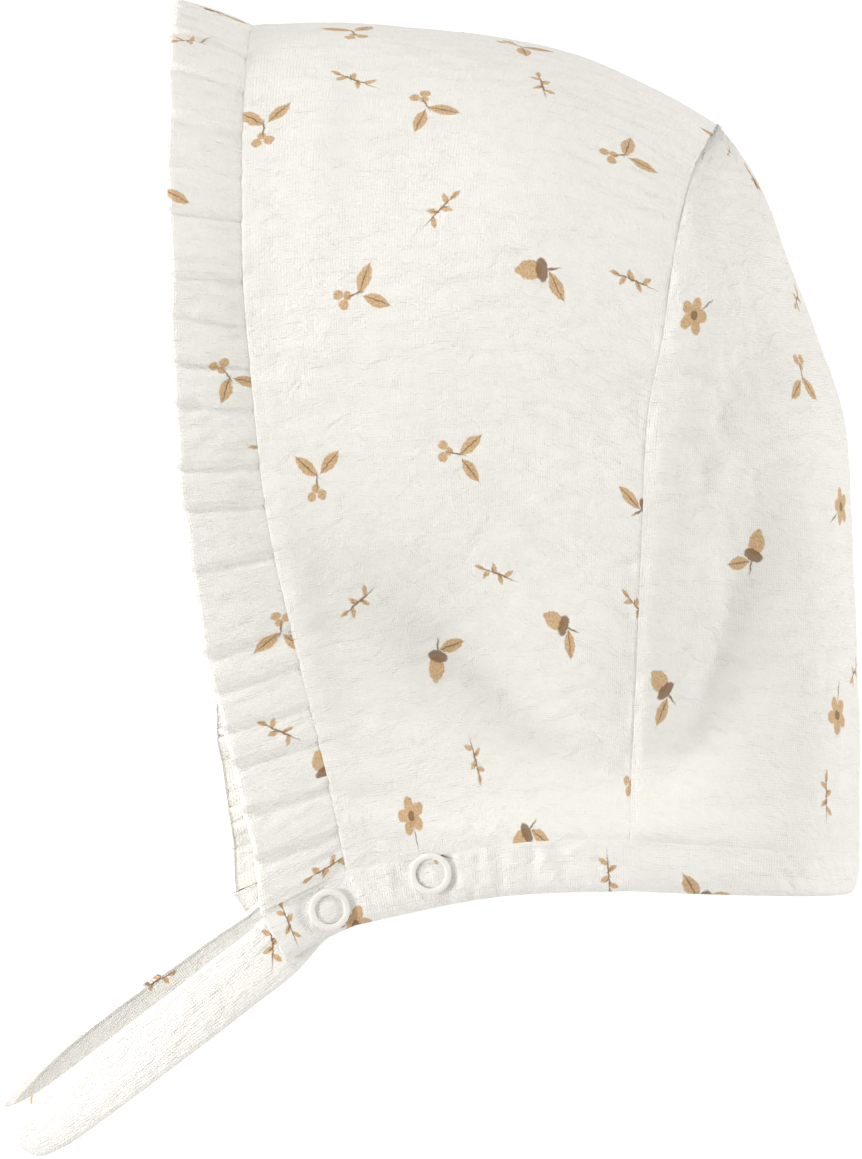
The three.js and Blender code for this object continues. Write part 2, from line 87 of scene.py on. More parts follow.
@dataclass(frozen=True)
class Dent:
    """A broad dent or swell of a panel, as a soft oval seen from the side."""

    y: float
    z: float
    lift: float
    along: float
    across: float
    turn: float


@dataclass(frozen=True)
class Fold:
    """A fold of the frill, counted in millimetres round the arch from its top."""

    at: float
    depth: float
    lean: float


def each(kind: type, *rows: tuple) -> tuple:
    """Make one record from each row."""
    return tuple(kind(*row) for row in rows)


FRILL_EDGE = each(Spot,
    (-72.6, 9.6), (-73.7, 1.2), (-74.3, -20.2), (-73.8, -44.6), (-73.2, -68.4),
    (-71.9, -94.4), (-67.3, -129.1), (-61.5, -155.2), (-56.7, -173.7), (-53.9, -192.8),
)
FRONT_SEAM = each(Spot,
    (-55.6, 4.4), (-56.9, -5.5), (-57.8, -20.7), (-58.0, -36.0), (-57.8, -54.2),
    (-56.5, -71.5), (-53.0, -104.1), (-47.8, -129.3), (-39.7, -162.3), (-35.3, -183.7),
)
CROWN_SEAM = each(Spot,
    (48.7, -17.9), (44.4, -25.0), (40.6, -32.3), (36.2, -48.4), (33.0, -69.0),
    (30.0, -85.0), (28.8, -111.7), (27.7, -148.7), (26.6, -177.1),
)
TOP_LINE = each(Spot,
    (-55.6, 4.4), (-36.0, 4.9), (-18.0, 3.6), (0.0, 1.6), (18.0, -2.6),
    (36.1, -10.7), (48.7, -17.9),
)
BACK_LINE = each(Spot,
    (48.7, -17.9), (57.7, -30.3), (65.6, -48.3), (72.4, -66.3), (78.3, -84.3),
    (80.1, -104.6), (81.2, -133.9), (81.2, -165.4), (80.7, -181.7),
)
BAND_TOP = each(Spot, (-35.3, -183.7), (-17.0, -180.8), (4.5, -177.5), (26.6, -177.1))
BAND_FOOT_FRONT = each(Spot, (-48.0, -203.6), (-41.0, -199.7), (-32.9, -196.0))
BAND_FOOT_SIDE = each(Spot, (-32.9, -196.0), (-10.8, -191.2), (4.6, -189.2), (26.6, -188.5))
BAND_FOOT_BACK = Spot(79.6, -191.0)

# The main dents, as in the solids.
BROAD_DENTS = each(Dent,
    (-21, -116, -0.8, 34, 15, -24), (49, -112, -1.4, 40, 11, 82), (9, -40, 1.5, 28, 18, 10),
    (-43, -22, 0.7, 16, 10, 90), (72, -140, 1.2, 40, 14, 90), (-3, -172, 1.1, 40, 9, 6),
)
# Shallow creases and swells too small for the solids.
SMALL_DENTS = each(Dent,
    (-34, -28, -0.45, 20, 5, 88), (24, -52, 0.5, 9, 7, 10), (20, -63, -0.45, 11, 3, -28),
    (18, -74, 0.35, 10, 4, -12), (34, -78, -0.5, 7, 3, 70), (-38, -84, -0.3, 16, 3, 4),
    (-30, -97, -0.35, 20, 3.4, -8), (-36, -126, 0.5, 12, 4, -10), (-20, -133, 0.45, 18, 4, -22),
    (0, -152, 0.35, 14, 4, -30), (-26, -150, -0.3, 16, 3, 2), (-22, -168, -0.3, 16, 3.2, 8),
    (12, -112, -0.35, 24, 5, -34), (-8, -88, -0.3, 24, 4, -38), (45, -88, -0.9, 14, 5, 74),
    (58, -70, -0.6, 12, 6, 60), (40, -132, -0.5, 20, 4, 86), (66, -96, 0.5, 16, 7, 80),
)
# Wide soft dents of the slack cloth, held out by the front seam and the neck band.
SLACK_FRONT_FADE = 0.16
SLACK_HEM_FADE = 14.0
SLACK_DENTS = each(Dent,
    (57, -104, -2.6, 42, 15, 80), (4, -142, -2.8, 46, 28, -24), (-5, -64, 2.4, 46, 24, 0),
    (55, -62, -1.2, 20, 9, 66), (-27, -122, -0.9, 17, 7, -14),
)
# The slack of the empty bonnet sinks to this line; below and behind it the cloth turns out again.
VALLEY_LINE = each(Spot,
    (-47.2, -122.7), (-22.5, -129.4), (-4.5, -142.9), (9.0, -156.4), (27.0, -164.4),
    (43.5, -159.0), (54.0, -136.2), (60.5, -107.0), (65.0, -79.9),
)
VALLEY_DEPTH = 10.8
VALLEY_CREASE_REACH = 5.0      # reach of the crease at its bottom
VALLEY_SLACK_REACH = 16.0      # reach of the slack on both sides
VALLEY_CREASE_SHARE = 0.26
VALLEY_FRONT_FADE = 0.12       # share of the hood's width over which the front seam holds it out
VALLEY_HEM_FADE = 10.0         # the neck band holds the cloth above it out over this height
FOLDS = each(Fold,
    (4, 1.2, 1), (16, 1.3, -1), (33, 1.6, -2), (46, 1.6, -2), (58, 1.8, -1),
    (69, 1.3, 0), (79, 1.6, 0), (92, 1.4, 0), (102, 1.0, -2), (111, 1.7, -2),
    (120, 1.2, -2), (132, 1.6, -1), (141, 1.7, -2), (152, 1.2, 0), (169, 1.8, 0),
    (177, 1.1, 0), (186, 1.0, -1), (194, 1.5, -2), (204, 1.8, -2), (214, 1.6, -2),
)
FAR_FOLD_SHIFT = (3.0, -2.0, 4.0, -3.0)

STRAP_ROOT = Spot(-51.2, -201.7)
STRAP_TUCK = each(Spot, (-8.0, -182.0), (-16.8, -184.2), (-39.0, -191.2))
STRAP_FAR_END = each(Spot, (-39.0, -193.4), (-28.0, -188.6))
# Each row: run down the slope, rise square to it, x.
STRAP_LOOP = (
    (0, 0.0, 43.8), (10, -0.4, 42.3), (21, -0.9, 39.5), (32, -1.3, 35.3), (43, -1.8, 29.5),
    (54, -2.3, 22.0), (64, -2.5, 13.0), (72, -1.4, 0.0), (64, 0.3, -13.0), (54, 1.2, -22.0),
    (43, 1.3, -29.5), (32, 1.2, -35.3), (21, 1.0, -39.5), (10, 0.8, -42.3), (0, 0.5, -43.8),
)
SNAP_SPOTS = {"front": Spot(-39.0, -192.4), "rear": Spot(-16.8, -184.5)}


# ---- The bonnet's form ----
def smooth(value: Array) -> Array:
    """Ease a share from 0 to 1 with level ends."""
    v = np.clip(value, 0.0, 1.0)
    return v * v * (3 - 2 * v)


def hollow(distance: Array, reach: float) -> Array:
    """A soft bump of height 1 that fades over `reach`."""
    return np.exp(-((distance / reach) ** 2))


def crowd(share: Array, pull: float) -> Array:
    """Move grid lines toward both ends of a share, where the seams need finer steps."""
    return share - pull * np.sin(2 * math.pi * share) / (2 * math.pi)


class RunningLine:
    """A smooth line through a few places, read by the share of its length."""

    def __init__(self, points: Sequence[Sequence[float]], steps: int = 60) -> None:
        """Sample the line.

        Args:
            points: the places that the line goes through.
            steps: samples between two places.
        """
        pts = np.array(points, dtype=float)
        count = len(pts)
        grid = np.linspace(0, count - 1, (count - 1) * steps + 1)
        first = np.minimum(grid.astype(int), count - 2)
        w = (grid - first)[:, None]
        p0, p1 = pts[np.maximum(first - 1, 0)], pts[first]
        p2, p3 = pts[first + 1], pts[np.minimum(first + 2, count - 1)]
        v0, v1 = (p2 - p0) / 2, (p3 - p1) / 2
        self.samples = (2 * p1 - 2 * p2 + v0 + v1) * w**3 + (3 * p2 - 3 * p1 - 2 * v0 - v1) * w**2 + v0 * w + p1
        run = np.concatenate([[0.0], np.cumsum(np.linalg.norm(np.diff(self.samples, axis=0), axis=1))])
        self.length = float(run[-1])
        self.share = run / self.length
        self.end_slope = (self.samples[-1] - self.samples[-2]) / (self.share[-1] - self.share[-2])

    def at(self, share: Array) -> Array:
        """Places on the line, carried on straight past its end.

        Args:
            share: shares of the length, any shape.

        Returns:
            The places, with one more axis.
        """
        inside = np.clip(share, 0.0, 1.0)
        place = np.stack([np.interp(inside, self.share, column) for column in self.samples.T], axis=-1)
        return place + np.maximum(share - 1.0, 0.0)[..., None] * self.end_slope


def side_line(spots: Sequence[Spot]) -> RunningLine:
    """A running line through places of the side view."""
    return RunningLine([(spot.y, spot.z) for spot in spots])


@dataclass
class Arch:
    """A line over the head: a round top of `radius`, then sides that draw in by `taper`."""

    radius: float
    taper: float
    line: RunningLine

    def girth(self) -> float:
        """Length of cloth from the top of the arch to the neck."""
        return math.pi * self.radius / 2 + self.line.length - self.radius


def along_arch(radius: Array, taper: Array, length: Array, f: Array) -> tuple[Array, Array]:
    """Follow an arch.

    Args:
        radius: of its round top.
        taper: share by which its sides draw in.
        length: of its line in the side view.
        f: share of its girth.

    Returns:
        Half width, and progress in the side view.
    """
    quarter = math.pi * radius / 2
    run = f * (quarter + length - radius)
    turn = np.minimum(run, quarter) / radius
    down = np.maximum(run - quarter, 0.0)
    drawn = np.power(down / (length - radius), 1.5)
    x = np.where(run < quarter, radius * np.sin(turn), radius * (1 - taper * drawn))
    g = np.where(run < quarter, radius * (1 - np.cos(turn)), radius + down) / length
    return x, g


def unit(arrows: Array) -> Array:
    """Bring arrows to length 1."""
    return arrows / np.maximum(np.linalg.norm(arrows, axis=-1, keepdims=True), 1e-9)


def mix(a: Array, b: Array, share: Array) -> Array:
    """Blend two values or places by a share."""
    return a + (b - a) * share


class BonnetForm:
    """The undented shell.

    t runs -1 frill edge, 0 front seam, 1 crown seam, 2 centre back, then mirrored to 5.
    f runs 0 crown line, 1 top of the neck band, 2 its foot; a negative f is the far side.
    """

    def __init__(self) -> None:
        """Lay out the lines of the form."""
        self.edge = Arch(60.5, 0.20, side_line(FRILL_EDGE))
        self.front = Arch(56.0, 0.18, side_line(FRONT_SEAM))
        self.crown = Arch(59.0, 0.15, side_line(CROWN_SEAM))
        self.top = side_line(TOP_LINE)
        self.back = side_line(BACK_LINE)
        self.hem = side_line(BAND_TOP)
        self.foot_front = side_line(BAND_FOOT_FRONT)
        self.foot_side = side_line(BAND_FOOT_SIDE)

    def _between(self, a: Arch, b: Arch, share: Array, f: Array) -> tuple[Array, Array]:
        """Half width and progress at the share f of an arch between two others."""
        return along_arch(
            mix(a.radius, b.radius, share), mix(a.taper, b.taper, share), mix(a.line.length, b.line.length, share), f
        )

    def _frill(self, reach: Array, f: Array) -> Array:
        """Places between the front seam and the frill's edge."""
        x, g = self._between(self.front, self.edge, reach, f)
        side = mix(self.front.line.at(g), self.edge.line.at(g), reach[..., None])
        return np.concatenate([x[..., None], side], axis=-1)

    def _hood(self, t: Array, f: Array) -> Array:
        """Places between the front seam and the crown seam."""
        x, g = self._between(self.front, self.crown, t, f)
        u, v = t[..., None], g[..., None]
        zero, one = np.zeros_like(g), np.ones_like(g)
        front, crown = self.front.line, self.crown.line
        sides = mix(front.at(g), crown.at(g), u)
        ends = mix(self.top.at(t), self.hem.at(t), v)
        corners = mix(mix(front.at(zero), crown.at(zero), u), mix(front.at(one), crown.at(one), u), v)
        return np.concatenate([x[..., None], sides + ends - corners], axis=-1)

    def _back(self, t: Array, f: Array) -> Array:
        """Places between the crown seam and the centre back."""
        crown = self.crown
        x, g = self._between(crown, crown, np.zeros_like(f), f)
        seam = crown.line.at(g)
        top, foot = CROWN_SEAM[0].z, CROWN_SEAM[-1].z
        wanted = mix(top, BACK_LINE[-1].z, (seam[..., 1] - top) / (foot - top))
        centre_share = np.interp(-wanted, -self.back.samples[:, 1], self.back.share)
        turn = math.pi / 2 * (2 - t)
        share = np.power(np.clip(np.cos(turn), 0, 1), 2 / mix(1.0, 2.0, smooth(f / 0.4)))
        side = mix(seam, self.back.at(centre_share), share[..., None])
        return np.concatenate([(x * np.sin(turn))[..., None], side], axis=-1)

    def _foot(self, t: Array) -> Array:
        """Side-view places of the neck band's foot."""
        front = self.foot_front.at(np.clip(1 + t, 0, 1)) + np.minimum(t + 1, 0)[..., None] * self.foot_front.end_slope
        side = self.foot_side.at(np.clip(t, 0, 1))
        share = np.cos(math.pi / 2 * (2 - np.clip(t, 1, 2)))[..., None]
        back = mix(side, np.array([BAND_FOOT_BACK.y, BAND_FOOT_BACK.z]), share)
        return np.where((t <= 0)[..., None], front, np.where((t <= 1)[..., None], side, back))

    def shell(self, t: Array, f: Array) -> Array:
        """Places on the undented shell, in millimetres.

        Args:
            t: place from the frill's edge to the back.
            f: place from the crown to the foot of the neck band.

        Returns:
            Points, with one more axis than t.
        """
        t, f = np.broadcast_arrays(np.asarray(t, float), np.asarray(f, float))
        far = (f < 0) ^ (t > 2)
        t = np.where(t > 2, 4 - t, t)
        f = np.abs(f)
        drop = np.maximum(f - 1, 0.0)
        level = np.minimum(f, 1.0)
        frill = self._frill(-np.minimum(t, 0.0), level)
        hood = self._hood(np.clip(t, 0, 1), level)
        back = self._back(np.clip(t, 1, 2), level)
        p = np.where((t <= 0)[..., None], frill, np.where((t <= 1)[..., None], hood, back))
        foot = self._foot(t)
        x = p[..., 0] * (1 - HEM_DRAW_IN / 50 * drop)
        side = mix(p[..., 1:], foot, drop[..., None])
        spread = np.where(t <= 0, 0.6 - 0.4 * t, 0.6 * np.maximum(0, 1 - t) ** 2)
        forward = FAR_CORNER_FORWARD * spread * smooth((f - 0.7) / 0.28)
        side[..., 0] -= np.where(far, forward, 0.0)
        return np.concatenate([np.where(far, -x, x)[..., None], side], axis=-1)

    def outward(self, t: Array, f: Array) -> Array:
        """Outward directions of the undented shell.

        Args:
            t: place from the frill's edge to the back.
            f: place from the crown to the foot of the neck band.

        Returns:
            Directions of length 1.
        """
        step = 0.004
        t, f = np.broadcast_arrays(np.asarray(t, float), np.asarray(f, float))
        across = self.shell(t + step, f) - self.shell(t - step, f)
        down = self.shell(t, f + step) - self.shell(t, f - step)
        n = -np.cross(across, down)
        tip = (t > 0.99) & (t < 3.01) & (np.abs(f) < 0.01)
        n = np.where(tip[..., None], np.array([0.0, 0.66, 0.75]), n)
        return unit(n)

    def lifting(self, t: Array, f: Array) -> Array:
        """Outward directions evened out over the seams, so that deep relief doesn't fold the cloth there."""
        n = self.outward(t - 0.026, f) + 2 * self.outward(t - 0.013, f) + 2 * self.outward(t, f)
        n += 2 * self.outward(t + 0.013, f) + self.outward(t + 0.026, f)
        return unit(n)

    def on_side(self, spot: Spot) -> tuple[Array, Array]:
        """Find what is seen at a spot of the side view.

        Args:
            spot: the spot.

        Returns:
            The place on the near side, and its outward direction.
        """
        t, f = np.meshgrid(np.linspace(-1, 1, 161), np.linspace(0.85, 2.0, 116))
        p = self.shell(t, f)
        best = np.unravel_index(np.argmin((p[..., 1] - spot.y) ** 2 + (p[..., 2] - spot.z) ** 2), t.shape)
        n = self.outward(t[best], f[best])
        place = p[best].copy()
        place[0] -= (n[1] * (spot.y - place[1]) + n[2] * (spot.z - place[2])) / n[0]
        place[1:] = spot.y, spot.z
        return place + n * dents(BROAD_DENTS, place[None])[0], n


def dents(rows: Sequence[Dent], p: Array) -> Array:
    """Sum up some dents.

    Args:
        rows: the dents.
        p: points on the undented shell.

    Returns:
        How far each point moves outward, in millimetres.
    """
    total = np.zeros(p.shape[:-1])
    for row in rows:
        a = math.radians(row.turn)
        dy, dz = p[..., 1] - row.y, p[..., 2] - row.z
        u = (dy * math.cos(a) + dz * math.sin(a)) / row.along
        v = (-dy * math.sin(a) + dz * math.cos(a)) / row.across
        total += row.lift * np.exp(-u * u - v * v)
    return total * np.where(p[..., 0] < 0, FAR_RELIEF, 1.0)


def valley(t: Array, f: Array, p: Array, girth: float) -> Array:
    """Depth of the slack valley: a soft crease in a wide hollow, held out by the seams.

    Args:
        t: places from the front seam to the back.
        f: places from the crown to the neck band.
        p: points on the undented shell.
        girth: length of cloth from the crown to the neck band.

    Returns:
        The depth in millimetres.
    """
    line = side_line(VALLEY_LINE).samples[::10]
    step = np.linalg.norm(np.gradient(line, axis=0), axis=-1)
    share = np.linspace(0, 1, len(line))
    weight = step * smooth(share / 0.22) * smooth((1 - share) / 0.3)
    square = (p[:, None, 1] - line[:, 0]) ** 2 + (p[:, None, 2] - line[:, 1]) ** 2
    total = np.zeros(len(p))
    for reach, part in ((VALLEY_CREASE_REACH, VALLEY_CREASE_SHARE), (VALLEY_SLACK_REACH, 1 - VALLEY_CREASE_SHARE)):
        total += part * (np.exp(-square / (2 * reach**2)) @ weight) / (math.sqrt(2 * math.pi) * reach)
    held = smooth(t / VALLEY_FRONT_FADE) * smooth((1 - np.abs(f)) * girth / VALLEY_HEM_FADE)
    return VALLEY_DEPTH * total * held * np.where(p[:, 0] < 0, FAR_RELIEF, 1.0)


def slack(t: Array, f: Array, p: Array, girth: float) -> Array:
    """Lift of the wide soft dents, held down at the front seam and above the neck band."""
    return dents(SLACK_DENTS, p) * smooth(t / SLACK_FRONT_FADE) * smooth((1 - np.abs(f)) * girth / SLACK_HEM_FADE)


class Crinkle:
    """Irregular creasing of washed muslin, as many short waves with one leading direction."""

    def __init__(self, seed: int, heading: float, spread: float, shortest: float, longest: float) -> None:
        """Draw the waves.

        Args:
            seed: number that fixes the pattern.
            heading: direction of the crests in degrees.
            spread: how far single crests turn from it, in degrees.
            shortest: shortest wave in millimetres.
            longest: longest wave in millimetres.
        """
        rng = np.random.default_rng(seed)
        count = 26
        turn = np.radians(heading + 90 + rng.normal(0, spread, count))
        length = np.exp(rng.uniform(math.log(shortest), math.log(longest), count))
        self.wave = 2 * math.pi / length[:, None] * np.stack([np.cos(turn), np.sin(turn)], axis=-1)
        self.phase = rng.uniform(0, 2 * math.pi, count)
        self.height = length / length.sum()
        self.bend = rng.uniform(0, 2 * math.pi, (3, 3))

    def at(self, x: Array, y: Array) -> Array:
        """Read the creasing.

        Args:
            x: places across, in millimetres.
            y: places along, in millimetres.

        Returns:
            Its height there, about -1 to 1.
        """
        bent_x = x + sum(3.0 * np.sin(x / (17 + 7 * k) + y / (23 + 5 * k) + self.bend[0, k]) for k in range(3))
        bent_y = y + sum(3.0 * np.sin(x / (21 + 6 * k) - y / (15 + 8 * k) + self.bend[1, k]) for k in range(3))
        total = np.zeros_like(x)
        for (kx, ky), phase, height in zip(self.wave, self.phase, self.height):
            wave = np.sin(kx * bent_x + ky * bent_y + phase)
            total += height * (wave - 0.35 * wave * wave)
        patch = 0.62 + 0.38 * np.sin(x / 19 + self.bend[2, 0]) * np.sin(y / 24 + self.bend[2, 1])
        return 3.2 * total * patch


def folds_at(run: Array, reach: Array, far: Array, sharp: float, soft: float) -> Array:
    """Depth of the frill's folds, each steep on its upper side and soft below.

    Args:
        run: millimetres round the arch from its top.
        reach: share of the way from the front seam to the frill's edge.
        far: whether a place is on the far side.
        sharp: reach of the steep side in millimetres.
        soft: reach of the soft side in millimetres.

    Returns:
        The depth in millimetres.
    """
    total = np.zeros_like(run)
    for index, fold in enumerate(FOLDS):
        place = fold.at + fold.lean * reach + np.where(far, FAR_FOLD_SHIFT[index % 4], 0.0)
        away = run - place
        total += fold.depth * np.where(away < 0, np.exp(-((away / sharp) ** 2)), np.exp(-np.abs(away / soft) ** 1.3))
    return total


# ---- Finishes ----
def linear(hex_colour: str) -> tuple[float, float, float, float]:
    """Turn an sRGB hex colour into linear light."""
    parts = [int(hex_colour[i : i + 2], 16) / 255 for i in (1, 3, 5)]
    return (*[c / 12.92 if c <= 0.04045 else ((c + 0.055) / 1.055) ** 2.4 for c in parts], 1.0)


def add(tree: Tree, kind: str, inputs: dict | None = None, **settings: object) -> bpy.types.Node:
    """Add a node with its settings, values and links.

    Args:
        tree: the material's node tree.
        kind: Blender's name of the node type, after "ShaderNode".
        inputs: socket name or number to a value or to the socket that feeds it.
        settings: properties of the node.

    Returns:
        The new node.
    """
    node = tree.nodes.new("ShaderNode" + kind)
    for name, value in settings.items():
        setattr(node, name, value)
    for socket, value in (inputs or {}).items():
        if isinstance(value, Socket):
            tree.links.new(value, node.inputs[socket])
        else:
            node.inputs[socket].default_value = value
    return node


def maths(tree: Tree, operation: str, *values: object) -> Socket:
    """Calculate with numbers in a node."""
    return add(tree, "Math", dict(enumerate(values)), operation=operation).outputs[0]


def vectors(tree: Tree, operation: str, *values: object) -> Socket:
    """Calculate with vectors in a node."""
    return add(tree, "VectorMath", dict(enumerate(values)), operation=operation).outputs[0]


def noise(tree: Tree, place: Socket, scale: float, detail: float, **more: float) -> bpy.types.Node:
    """Add a noise over some coordinates."""
    return add(tree, "TexNoise", {"Vector": place, "Scale": scale, "Detail": detail, **more})


def blend(tree: Tree, share: Socket, first: object, second: object) -> Socket:
    """Blend two colours in a node."""
    return add(tree, "Mix", {0: share, 6: first, 7: second}, data_type="RGBA").outputs[2]


def spread(tree: Tree, value: Socket, *ends: float | Socket) -> Socket:
    """Map a range of values to another; the ends are from low, from high, to low, to high."""
    sockets = ("From Min", "From Max", "To Min", "To Max")
    return add(tree, "MapRange", {"Value": value, **dict(zip(sockets, ends))}).outputs[0]


def parts_of(tree: Tree, vector: Socket) -> bpy.types.NodeOutputs:
    """Split a vector into its X, Y and Z."""
    return add(tree, "SeparateXYZ", {0: vector}).outputs


def emptied(block: bpy.types.Material | bpy.types.World) -> Tree:
    """Give a material or world an empty node tree."""
    block.use_nodes = True
    block.node_tree.nodes.clear()
    return block.node_tree


class Motif(Enum):
    """The kinds of small print on the muslin."""

    ACORN = "acorn"
    LEAVES = "leaves"
    BLOSSOM = "blossom"
    SPRIG = "sprig"


@dataclass(frozen=True)
class Blot:
    """One oval or leaf-shaped blot of a motif, in millimetres from the motif's middle."""

    x: float
    y: float
    long: float
    wide: float
    turn: float = 0.0
    pointed: bool = False


MOTIF_BODY: dict[Motif, tuple[Blot, ...]] = {
    Motif.ACORN: each(Blot,
        (0.0, -2.1, 2.2, 2.7), (0.0, -4.4, 0.9, 1.0), (-3.6, 3.7, 3.5, 1.5, 155, True),
    ),
    Motif.LEAVES: each(Blot,
        (-2.7, 2.6, 3.3, 1.45, 128, True), (2.9, 1.3, 3.5, 1.5, 36, True), (-1.3, -4.6, 1.15, 1.15),
        (1.2, -5.2, 1.1, 1.1), (0.3, -3.4, 0.95, 0.95),
    ),
    Motif.BLOSSOM: each(Blot,
        (0.0, 2.4, 1.45, 1.9), (2.3, 0.75, 1.45, 1.9, -72), (1.4, -1.95, 1.45, 1.9, -144),
        (-1.4, -1.95, 1.45, 1.9, 144), (-2.3, 0.75, 1.45, 1.9, 72),
    ),
    Motif.SPRIG: each(Blot,
        (-3.2, 0.9, 1.5, 0.6, 130, True), (-1.4, -0.9, 1.5, 0.6, -120, True),
        (0.6, 1.0, 1.5, 0.6, 60, True), (2.4, -0.7, 1.4, 0.6, -60, True), (4.3, 0.35, 1.4, 0.55, 12, True),
    ),
}
MOTIF_DARK: dict[Motif, tuple[Blot, ...]] = {
    Motif.ACORN: each(Blot,
        (0.0, 0.6, 2.7, 1.35), (0.2, 3.0, 0.26, 1.7, -8), (-3.4, 3.6, 3.3, 0.15, 155),
    ),
    Motif.LEAVES: each(Blot,
        (-2.6, 2.5, 3.1, 0.15, 128), (2.7, 1.15, 3.3, 0.15, 36), (0.1, -1.6, 0.2, 2.0, -3),
    ),
    Motif.BLOSSOM: each(Blot, (0.0, 0.0, 1.05, 1.05), (0.3, -5.2, 0.2, 2.1, 4)),
    Motif.SPRIG: each(Blot, (-0.3, 0.05, 4.6, 0.2, 3), (1.0, 0.5, 0.9, 0.16, 55), (-1.2, -0.4, 0.8, 0.16, -120)),
}


@dataclass(frozen=True)
class PrintedMuslin:
    """Washed double muslin: plain-weave cotton, soft and matt, with a small scattered print.

    Cotton scatters light softly, so the surface is rough with a faint sheen, and the
    loose weave shows as a fine grain.
    """

    name: str
    ground: str = "#f3f1eb"
    shadow: str = "#ebe8e1"
    tan: str = "#ddb98a"
    tan_deep: str = "#c29a69"
    brown: str = "#8a6b4a"
    thread_mm: float = 0.6     # real threads lie about 0.5 mm apart; drawn coarser so that they show
    crease_mm: float = 3.4     # length of the washed creases
    nap_share: float = 5.0     # height of the loose fibres beside that of the threads
    cell_mm: float = 39.0      # spacing of the print
    row_slide: float = 0.38    # each row of cells is moved on by this share of a cell
    ink_edge: float = 0.14     # a blot fades out over this many millimetres
    ink_cover: float = 0.92
    printed: bool = True
    seed: float = 3.0

    def _cell(self, tree: Tree, place: Socket, shift: float, seed: float) -> tuple[Socket, Socket]:
        """Break the cloth into cells and turn each cell's motif its own way.

        Args:
            tree: the material's node tree.
            place: cloth coordinates in millimetres.
            shift: how far the grid of cells is moved, in cells.
            seed: number that fixes the layout.

        Returns:
            Motif coordinates in millimetres, and a random number for the cell.
        """
        cell = self.cell_mm
        grid = add(tree, "Mapping", {
            "Vector": place, "Location": (shift, shift * 0.7, 0), "Scale": (1 / cell,) * 3})
        split = parts_of(tree, grid.outputs[0])
        slide = maths(tree, "MULTIPLY", maths(tree, "FLOOR", split["Y"]), self.row_slide)
        along = maths(tree, "ADD", split["X"], slide)
        spot = add(tree, "CombineXYZ", {"X": along, "Y": split["Y"], "Z": seed}).outputs[0]
        chance = add(tree, "TexWhiteNoise", {"Vector": vectors(tree, "FLOOR", spot)}, noise_dimensions="3D")
        wander = vectors(tree, "MULTIPLY", chance.outputs["Color"], (0.34, 0.34, 0.0))
        centred = vectors(tree, "SUBTRACT", vectors(tree, "FRACTION", spot), (0.33, 0.33, 0.0))
        flat = vectors(tree, "MULTIPLY", vectors(tree, "SUBTRACT", centred, wander), (cell, cell, 0.0))
        angle = maths(tree, "MULTIPLY", chance.outputs["Value"], 6.283)
        turned = add(tree, "VectorRotate", {"Vector": flat, "Angle": angle}, rotation_type="Z_AXIS")
        return turned.outputs[0], chance.outputs["Color"]

    def _blots(self, tree: Tree, place: Socket, blots: Sequence[Blot]) -> Socket:
        """Join a motif's blots into one mask.

        Args:
            tree: the material's node tree.
            place: motif coordinates in millimetres.
            blots: the ovals and leaves.

        Returns:
            The mask, 1 inside a blot.
        """
        mask = None
        for blot in blots:
            local = add(tree, "Mapping", {
                "Vector": place, "Location": (blot.x, blot.y, 0), "Rotation": (0, 0, math.radians(blot.turn)),
                "Scale": (blot.long, blot.wide, 1)}, vector_type="TEXTURE").outputs[0]
            if blot.pointed:
                split = parts_of(tree, local)
                size = maths(tree, "MULTIPLY_ADD", split["X"], split["X"], maths(tree, "ABSOLUTE", split["Y"]))
            else:
                size = add(tree, "VectorMath", {0: local}, operation="LENGTH").outputs["Value"]
            soft = self.ink_edge / max(min(blot.long, blot.wide), 0.3)
            inside = spread(tree, size, 1 + soft, 1 - soft)
            mask = inside if mask is None else maths(tree, "MAXIMUM", mask, inside)
        return mask

    def _print(self, tree: Tree, place: Socket, cloth: Socket) -> Socket:
        """Lay the print over the cloth's own colour.

        Args:
            tree: the material's node tree.
            place: cloth coordinates in millimetres.
            cloth: colour of the cloth.

        Returns:
            The colour with the print on it.
        """
        brown = linear(self.brown)
        ragged = noise(tree, place, 0.9, 3.0).outputs["Color"]
        nudge = vectors(tree, "MULTIPLY", vectors(tree, "SUBTRACT", ragged, (0.5, 0.5, 0.5)), (0.9, 0.9, 0.0))
        rough_place = vectors(tree, "ADD", place, nudge)
        tone = spread(tree, noise(tree, place, 1.7, 4.0, Roughness=0.7).outputs[0], 0.38, 0.62)
        flat_ink = blend(tree, tone, linear(self.tan), linear(self.tan_deep))
        # The ink sits on the thread tops only, so dark flecks and pale cloth show in it.
        fleck = spread(tree, noise(tree, place, 3.1, 2.0).outputs[0], 0.57, 0.66, 0.0, 0.55)
        ink = blend(tree, fleck, flat_ink, brown)
        colour = cloth
        layouts = (
            (0.0, self.seed, ((Motif.ACORN, 0.0, 0.36), (Motif.LEAVES, 0.36, 0.68), (Motif.BLOSSOM, 0.68, 0.93))),
            (0.53, self.seed + 4, ((Motif.SPRIG, 0.0, 0.62),)),
        )
        for shift, seed, kinds in layouts:
            spot, chance = self._cell(tree, rough_place, shift, seed)
            pick = parts_of(tree, chance)["Z"]
            for motif, low, high in kinds:
                above, below = maths(tree, "GREATER_THAN", pick, low), maths(tree, "LESS_THAN", pick, high)
                chosen = maths(tree, "MULTIPLY", above, below)
                for blots, tint in ((MOTIF_BODY[motif], ink), (MOTIF_DARK[motif], brown)):
                    amount = maths(tree, "MULTIPLY", self._blots(tree, spot, blots), chosen)
                    colour = blend(tree, maths(tree, "MULTIPLY", amount, self.ink_cover), colour, tint)
        return colour

